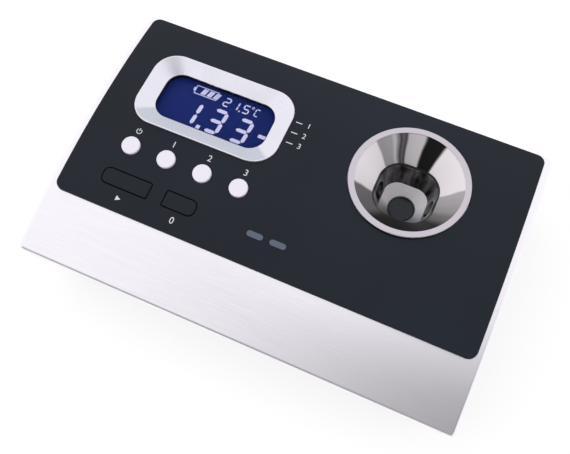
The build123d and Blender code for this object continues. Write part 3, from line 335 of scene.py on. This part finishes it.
def well_black():
    """Polished near-black coating on the walls with painted highlight streaks; the dished floor round the
    prism carries painted reflections, light on one side and dark on the other, and a painted shadow ring
    next to the prism.
    """
    s = Shader("well_black")
    turn, reach, x, z = s.round_stage()
    faces_up = s.math("GREATER_THAN", s.normal()[2], 0.55)
    low_down = s.math("LESS_THAN", z, centre("sample_well").z)
    between_walls = s.math("LESS_THAN", s.math("ABSOLUTE", x), dish_half_width)
    floor = s.math("MULTIPLY", s.math("MULTIPLY", faces_up, low_down), between_walls)
    # Painted highlights: streaks of lighter tone on the dark walls.
    painted_highlight_streak = s.span(s.noise(s.mapped((260, 260, 40))), 0.42, 0.62)
    wall = s.blend(painted_highlight_streak, (0.012, 0.012, 0.013), (0.13, 0.125, 0.13))
    # Painted shadow next to the prism, then the painted reflections round the stage axis beyond it.
    past_painted_shadow = s.span(reach, painted_shadow_edge, painted_shadow_edge + painted_shadow_blur)
    dish = s.blend(past_painted_shadow, (0.008, 0.008, 0.009), s.ramp(turn, dish_painted_reflections))
    s.set(Base_Color=s.blend(floor, wall, dish), Metallic=0.05, Specular_IOR_Level=0.3)
    s.set(Roughness=s.span(floor, 0.0, 1.0, 0.10, 0.30))
    return s.material


def prism_glass():
    """Dark polished measuring face."""
    s = Shader("prism_glass")
    cloud = s.noise(s.mapped((180, 180, 180)), detail=2.0)
    s.set(Base_Color=s.blend(cloud, srgb(26, 33, 42), srgb(38, 46, 57)))
    s.set(Roughness=0.08, Specular_IOR_Level=0.2, IOR=1.62)
    return s.material


def display_blue():
    """Backlit liquid crystal: even deep blue with the faint texture of its film, and painted shade, near
    black, past the edge of the bezel's opening.
    """
    s = Shader("display_blue")
    film = s.noise(s.mapped((1500, 1500, 1500)), detail=2.0)
    glow = s.noise(s.mapped((35, 35, 35)), detail=1.0)
    deep = s.blend(s.span(glow, 0.3, 0.7), srgb(15, 30, 88), srgb(19, 36, 101))
    deep = s.blend(s.span(film, 0.4, 0.6, 0.0, 0.25), deep, srgb(14, 27, 84))
    no_height = 1.0
    straight_half = (view_width / 2 - view_corner, view_height / 2 - view_corner, no_height)
    offset = s.vector("ABSOLUTE", s.vector("SUBTRACT", s.place, (view_middle.x, view_middle.y, 0)))
    past_corner = s.vector("MAXIMUM", s.vector("SUBTRACT", offset, straight_half))
    # Painted shade: near black past the edge of the bezel's opening, where the opening's wall shades the
    # display.
    bezel_shade_gap, bezel_shade_blur = 0.4 * MM, 0.2 * MM
    bezel_shade_start = view_corner + bezel_shade_gap
    bezel_shade = s.span(s.vector("LENGTH", past_corner), bezel_shade_start, bezel_shade_start + bezel_shade_blur)
    deep = s.blend(bezel_shade, deep, (0.004, 0.004, 0.006))
    s.set(Base_Color=deep)
    s.set(Roughness=0.35, Specular_IOR_Level=0.05, Emission_Strength=0.16)
    s.set(Emission_Color=deep)
    return s.material


def display_ink():
    """Lit segments, lavender white."""
    s = Shader("display_ink")
    film = s.noise(s.mapped((1400, 1400, 1400)), detail=2.0)
    tone = s.blend(film, srgb(172, 174, 212), srgb(200, 198, 230))
    s.set(Base_Color=tone, Roughness=0.4, Emission_Strength=0.22)
    s.set(Emission_Color=tone)
    return s.material


def print_white():
    """Screen-printed marks."""
    s = Shader("print_white")
    speck = s.noise(s.mapped((2500, 2500, 2500)), detail=2.0)
    s.set(Base_Color=s.blend(speck, srgb(205, 205, 210), srgb(236, 236, 240)), Roughness=0.5)
    return s.material


def window_clear():
    """Clear window: nearly all light goes straight through, with gloss only where light enters the pane."""
    s = Shader("window_clear")
    through = s.add("BsdfTransparent")
    gloss = s.add("BsdfGlossy")
    gloss.inputs["Roughness"].default_value = 0.03
    fresnel = s.add("Fresnel")
    fresnel.inputs["IOR"].default_value = 1.12
    entering = s.math("SUBTRACT", 1.0, s.add("NewGeometry").outputs["Backfacing"])
    mix = s.add("MixShader")
    s.link(s.math("MULTIPLY", fresnel.outputs[0], entering), mix.inputs[0])
    s.link(through.outputs[0], mix.inputs[1])
    s.link(gloss.outputs[0], mix.inputs[2])
    s.link(mix.outputs[0], s.output.inputs[0])
    s.tree.nodes.remove(s.bsdf)
    return s.material


def optical_glass():
    """Polished filter glass in front of dark barrels."""
    s = Shader("optical_glass")
    s.set(Base_Color=(0.06, 0.07, 0.09), Roughness=0.04, Transmission_Weight=0.5, IOR=1.52)
    s.set(Specular_IOR_Level=0.15)
    return s.material


def turned_metal(name, colour, roughness=0.3):
    """Plated or turned metal with fine scratches."""
    s = Shader(name)
    scratch = s.noise(s.mapped((3500, 400, 3500)), detail=3.0)
    s.set(Base_Color=s.blend(scratch, tuple(c * 0.82 for c in colour), colour), Metallic=1.0)
    s.set(Roughness=s.span(scratch, 0.3, 0.7, roughness - 0.06, roughness + 0.08))
    s.bump(scratch, 0.1, 0.01 * MM)
    return s.material


finishes = {
    "brushed_steel": brushed_steel(),
    "panel_charcoal": panel_plastic(),
    "bezel_silver": bezel_silver(),
    "clear_window": window_clear(),
    "display_blue": display_blue(),
    "button_white": moulded("button_white", srgb(240, 236, 247), 0.38, spread=0.03, relief=0.05),
    "lens_grey": moulded("lens_grey", srgb(82, 93, 110), 0.22, spread=0.12, relief=0.03),
    "polished_steel": polished_steel(),
    "well_black": well_black(),
    "prism_glass": prism_glass(),
    "optical_glass": optical_glass(),
    "black_rubber": moulded("black_rubber", (0.02, 0.02, 0.021), 0.62, relief=0.25),
    "black_aluminium": moulded("black_aluminium", (0.03, 0.03, 0.032), 0.42, metallic=0.4),
    "housing_grey": moulded("housing_grey", srgb(64, 66, 71), 0.52, 1.6, relief=0.35),
    "inner_plastic": moulded("inner_plastic", (0.62, 0.61, 0.57), 0.45),
    "board_green": moulded("board_green", (0.03, 0.16, 0.07), 0.35, spread=0.25),
    "screw_steel": turned_metal("screw_steel", (0.60, 0.60, 0.62)),
    "brass": turned_metal("brass", (0.72, 0.56, 0.27)),
    "cell_jacket": moulded("cell_jacket", (0.10, 0.12, 0.15), 0.3, spread=0.1),
    "contact_metal": turned_metal("contact_metal", (0.78, 0.76, 0.72), 0.22),
    "cable_film": moulded("cable_film", (0.60, 0.27, 0.05), 0.3),
    "black_plastic": moulded("black_plastic", (0.02, 0.02, 0.022), 0.5),
}
slot_of = {entry["node"]: entry["material_slot"] for entry in frame["record"]["subparts"]}
for name, piece in nodes.items():
    for place in piece.material_slots:
        place.material = finishes[slot_of[name]]
ink = display_ink()
marking = print_white()


# Flat marks as thin pieces
def attach(name, data, material):
    """Puts a mesh on the body as a piece with one material."""
    data.materials.clear()
    data.materials.append(material)
    made = bpy.data.objects.new(name, data)
    scene.collection.objects.link(made)
    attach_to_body(made, "body")


def plate(name, outlines, base, thickness, material, slot):
    """Thin plate from closed outlines in local millimetres, laid on a base matrix."""
    mesh = bmesh.new()
    for outline in outlines:
        ring = [mesh.verts.new((x * MM, y * MM, 0)) for x, y in outline]
        face = mesh.faces.new(ring)
        grown = bmesh.ops.extrude_face_region(mesh, geom=[face])
        lifted = [v for v in grown["geom"] if isinstance(v, bmesh.types.BMVert)]
        bmesh.ops.translate(mesh, verts=lifted, vec=(0, 0, thickness * MM))
    bmesh.ops.recalc_face_normals(mesh, faces=mesh.faces)
    mesh.transform(base)
    data = bpy.data.meshes.new(name)
    mesh.to_mesh(data)
    mesh.free()
    attach(name, data, material)


def panel_base(x, arc):
    """Matrix of the tangent plane of the panel at x and at an arc length from the stage axis, in mm."""
    angle = arc * MM / panel_radius
    place = arch_axis + Vector((0, math.sin(angle), math.cos(angle))) * panel_radius
    return Matrix.Translation(Vector((x * MM, place.y, place.z))) @ Matrix.Rotation(-angle, 4, "X")


def words(name, text, size, base, thickness, material, slot):
    """Printed characters as a thin mesh, centred on a base matrix."""
    curve = bpy.data.curves.new(name, "FONT")
    curve.body = text
    curve.size = size * MM
    curve.align_x = "CENTER"
    curve.align_y = "CENTER"
    curve.extrude = thickness * MM / 2
    source = bpy.data.objects.new(name + "_source", curve)
    data = bpy.data.meshes.new_from_object(source)
    data.name = name
    data.transform(base @ Matrix.Translation((0, 0, thickness * MM / 2)))
    bpy.data.objects.remove(source)
    attach(name, data, material)


# Seven-segment characters
segments_of = {
    "0": "abcdef",
    "1": "bc",
    "2": "abged",
    "3": "abgcd",
    "4": "fgbc",
    "5": "afgcd",
    "6": "afgedc",
    "7": "abc",
    "8": "abcdefg",
    "9": "abcdfg",
    "C": "adef",
}


def digit(character, x, y, width, height, stroke, slant):
    """Outlines of a slanted seven-segment character with its lower left corner at x, y."""
    gap = stroke * 0.12
    half = stroke / 2
    left, right = half, width - half
    low, mid, high = half, height / 2, height - half

    def bar_across(level):
        return [
            (left + gap, level),
            (left + gap + half, level + half),
            (right - gap - half, level + half),
            (right - gap, level),
            (right - gap - half, level - half),
            (left + gap + half, level - half),
        ]

    def bar_up(side, start, end):
        return [
            (side, start + gap),
            (side + half, start + gap + half),
            (side + half, end - gap - half),
            (side, end - gap),
            (side - half, end - gap - half),
            (side - half, start + gap + half),
        ]

    shapes = {
        "a": bar_across(high),
        "g": bar_across(mid),
        "d": bar_across(low),
        "f": bar_up(left, mid, high),
        "e": bar_up(left, low, mid),
        "b": bar_up(right, mid, high),
        "c": bar_up(right, low, mid),
    }
    return [
        [(x + px + slant * (y + py), y + py) for px, py in shapes[key]]
        for key in segments_of[character]
    ]


def box_outline(x, y, width, height, slant):
    """Slanted rectangle with its lower left corner at x, y."""
    corners = [(x, y), (x + width, y), (x + width, y + height), (x, y + height)]
    return [(px + slant * py, py) for px, py in corners]


def ring_outline(radius, width, start, end, steps=20):
    """Open ring as one closed outline, angles in degrees."""
    turns = [math.radians(start + (end - start) * n / steps) for n in range(steps + 1)]
    outer = [(radius * math.cos(a), radius * math.sin(a)) for a in turns]
    inner = [((radius - width) * math.cos(a), (radius - width) * math.sin(a)) for a in reversed(turns)]
    return outer + inner


# Display contents, in millimetres from the middle of the glass
segment_lift = 0.02 * MM
glass_base = Matrix.Translation((glass_middle.x, glass_middle.y, top("display_glass") + segment_lift))
slant = 0.06
digit_size = {"y": -8.5, "width": 6.6, "height": 11.5, "stroke": 1.55, "slant": slant}
reading = []
for character, x in (("1", -12.6), ("3", -1.7), ("3", 9.2)):
    reading += digit(character, x, **digit_size)
# The decimal point and the cursor
reading.append(box_outline(-4.3, -8.5, 1.6, 1.6, slant))
reading.append(box_outline(19.3, -2.8, 3.0, 1.5, slant))
small_size = {"y": 4.7, "width": 2.8, "height": 4.2, "stroke": 0.55, "slant": slant}
small_reading = []
for character, x in (("2", -0.1), ("1", 3.6), ("5", 8.2)):
    small_reading += digit(character, x, **small_size)
# The decimal point and the degree sign with its letter
small_reading.append(box_outline(7.1, 4.7, 0.6, 0.6, slant))
small_reading += digit("C", 13.1, 5.2, 2.1, 3.6, 0.45, slant)
small_reading.append([(12.3 + x, 8.5 + y) for x, y in ring_outline(0.55, 0.25, 0, 355)])


def battery_icon(x, y, width, height):
    """Outlined battery with slanted bars, as on any battery-powered instrument."""
    line, tip, bar_count = 0.35, 0.7, 3
    bar_inset, bar_lift, bar_gap, bar_slant = 0.8, 0.6, 0.75, 0.3
    case = [
        box_outline(x, y, width, line, 0),
        box_outline(x, y + height - line, width, line, 0),
        box_outline(x + width - line, y, line, height, 0),
        box_outline(x, y, line, height, 0),
        box_outline(x - tip, y + height * 0.3, tip, height * 0.4, 0),
    ]
    pitch = (width - 2 * bar_inset) / bar_count
    bar_size = (pitch - bar_gap, height - 2 * bar_lift)
    bars = [
        box_outline(x + bar_inset + n * pitch, y + bar_lift, *bar_size, bar_slant)
        for n in range(bar_count)
    ]
    return case + bars


segments = {"thickness": 0.03, "material": ink, "slot": "display_blue"}
plate("display_reading", reading, glass_base, **segments)
plate("display_small_reading", small_reading, glass_base, **segments)
plate("display_battery_sign", battery_icon(-12.6, 5.6, 9.8, 4.0), glass_base, **segments)

# Printed marks on the panel, in millimetres: x, and arc length from the stage axis
printed = {"thickness": 0.02, "material": marking, "slot": "panel_charcoal"}
dash_x, dash_length, dash_width = -7.6, 2.6, 0.36
scale_label_shift, scale_label_size = 4.0, 3.2
dash = [box_outline(-dash_length / 2, -dash_width / 2, dash_length, dash_width, 0)]
for number, arc in enumerate((6.5, 1.7, -3.0), start=1):
    label_place = panel_base(dash_x + scale_label_shift, arc)
    plate(f"scale_dash_{number}", dash, panel_base(dash_x, arc), **printed)
    words(f"scale_label_{number}", str(number), scale_label_size, label_place, **printed)

label_size = 3.6
button_label_arc, key_label_arc = -20.6, -47.8


def label_base(node, arc):
    """Place on the panel in line with a key, at an arc length from the stage axis."""
    return panel_base(centre(node).x / MM, arc)


for number in (1, 2, 3):
    node = f"scale_button_{number}"
    words(node + "_label", str(number), label_size, label_base(node, button_label_arc), **printed)
power_sign = [ring_outline(1.15, 0.3, 125, 415), box_outline(-0.15, 0.1, 0.3, 1.25, 0)]
plate("power_sign", power_sign, label_base("power_button", button_label_arc), **printed)
start_sign = [[(-0.9, -1.0), (1.1, 0.0), (-0.9, 1.0)]]
plate("start_sign", start_sign, label_base("start_key", key_label_arc), **printed)
words("zero_label", "0", label_size, label_base("zero_key", key_label_arc), **printed)


# Floor, world and lamps
def floor_material():
    """Pale floor: pure white to the camera where nothing shades it, plain white to the object."""
    s = Shader("studio_floor")
    path = s.add("LightPath")
    seen = s.math("MAXIMUM", path.outputs["Is Camera Ray"], path.outputs["Is Glossy Ray"])
    seen = s.math("MAXIMUM", seen, path.outputs["Is Transmission Ray"])
    s.set(Base_Color=s.blend(seen, (0.86, 0.86, 0.87), (0.25, 0.25, 0.25)))
    s.set(Roughness=0.9, Specular_IOR_Level=0.0)
    glow = s.add("Emission")
    glow.inputs["Color"].default_value = (1, 1, 1, 1)
    strength_to_white = 0.81
    s.link(s.math("MULTIPLY", seen, strength_to_white), glow.inputs["Strength"])
    total = s.add("AddShader")
    s.link(s.bsdf.outputs[0], total.inputs[0])
    s.link(glow.outputs[0], total.inputs[1])
    s.link(total.outputs[0], s.output.inputs[0])
    return s.material


floor_half = 3.0
floor_mesh = bpy.data.meshes.new("studio_floor")
floor_corners = [(x * floor_half, y * floor_half, 0) for x, y in ((-1, -1), (1, -1), (1, 1), (-1, 1))]
floor_mesh.from_pydata(floor_corners, [], [(0, 1, 2, 3)])
floor_mesh.materials.append(floor_material())
floor = bpy.data.objects.new("studio_floor", floor_mesh)
scene.collection.objects.link(floor)

world = bpy.data.worlds.new("studio")
world.use_nodes = True
scene.world = world
sky = world.node_tree
sky.nodes.clear()
sky_output = sky.nodes.new("ShaderNodeOutputWorld")
light_path = sky.nodes.new("ShaderNodeLightPath")


def sky_light(colour, strength):
    """Even light from all round."""
    made = sky.nodes.new("ShaderNodeBackground")
    made.inputs["Color"].default_value = (*colour, 1.0)
    made.inputs["Strength"].default_value = strength
    return made


def sky_switch(factor, first, second):
    """The first light, or the second where the factor is one."""
    made = sky.nodes.new("ShaderNodeMixShader")
    for socket, source in zip(made.inputs, (factor, first.outputs[0], second.outputs[0])):
        sky.links.new(source, socket)
    return made


def sky_span(value, low, high, to_low, to_high):
    """Smooth step of a world value between two levels."""
    made = sky.nodes.new("ShaderNodeMapRange")
    made.interpolation_type = "SMOOTHSTEP"
    for socket, setting in zip(range(1, 5), (low, high, to_low, to_high)):
        made.inputs[socket].default_value = setting
    sky.links.new(value, made.inputs[0])
    return made.outputs[0]


# The room that metal and glass show: white all round, grey overhead to the right and low in front
room = sky_light((0.99, 0.985, 1.0), 1.0)
room_place = sky.nodes.new("ShaderNodeTexCoord").outputs["Generated"]
overhead = sky.nodes.new("ShaderNodeVectorMath")
overhead.operation = "DOT_PRODUCT"
overhead.inputs[1].default_value = Vector((0.30, -0.36, 0.88)).normalized()
sky.links.new(room_place, overhead.inputs[0])
room_split = sky.nodes.new("ShaderNodeSeparateXYZ")
sky.links.new(room_place, room_split.inputs[0])
room_tone = sky.nodes.new("ShaderNodeMath")
room_tone.operation = "MULTIPLY"
sky.links.new(sky_span(overhead.outputs["Value"], 0.86, 0.99, 1.06, 0.22), room_tone.inputs[0])
sky.links.new(sky_span(room_split.outputs[1], -0.85, -0.50, 0.30, 1.0), room_tone.inputs[1])
sky.links.new(room_tone.outputs[0], room.inputs["Strength"])

ambient = sky_light((1.0, 0.99, 1.0), 0.60)
backdrop = sky_light((1, 1, 1), 1.0)
seen_in_gloss = sky_switch(light_path.outputs["Is Glossy Ray"], ambient, room)
seen_through = sky_switch(light_path.outputs["Is Transmission Ray"], seen_in_gloss, backdrop)
seen_direct = sky_switch(light_path.outputs["Is Camera Ray"], seen_through, backdrop)
sky.links.new(seen_direct.outputs[0], sky_output.inputs[0])


lamp_target = Vector((0, 0, 0.03))


def softbox(name, direction, distance, size, power, colour):
    """Square area lamp that faces the object from a direction."""
    data = bpy.data.lights.new(name, "AREA")
    data.energy = power
    data.size = size
    data.color = colour
    lamp = bpy.data.objects.new(name, data)
    lamp.visible_glossy = False
    aim = Vector(direction).normalized()
    lamp.location = lamp_target + aim * distance
    lamp.rotation_euler = aim.to_track_quat("Z", "Y").to_euler()
    scene.collection.objects.link(lamp)


softbox("key_light", (-0.60, -0.10, 0.80), distance=2.0, size=2.2, power=18.0, colour=(1.0, 0.985, 0.99))
softbox("fill_light", (0.85, 0.10, 0.60), distance=1.6, size=1.2, power=5.5, colour=(0.97, 0.97, 1.0))

scene.view_settings.view_transform = "Standard"
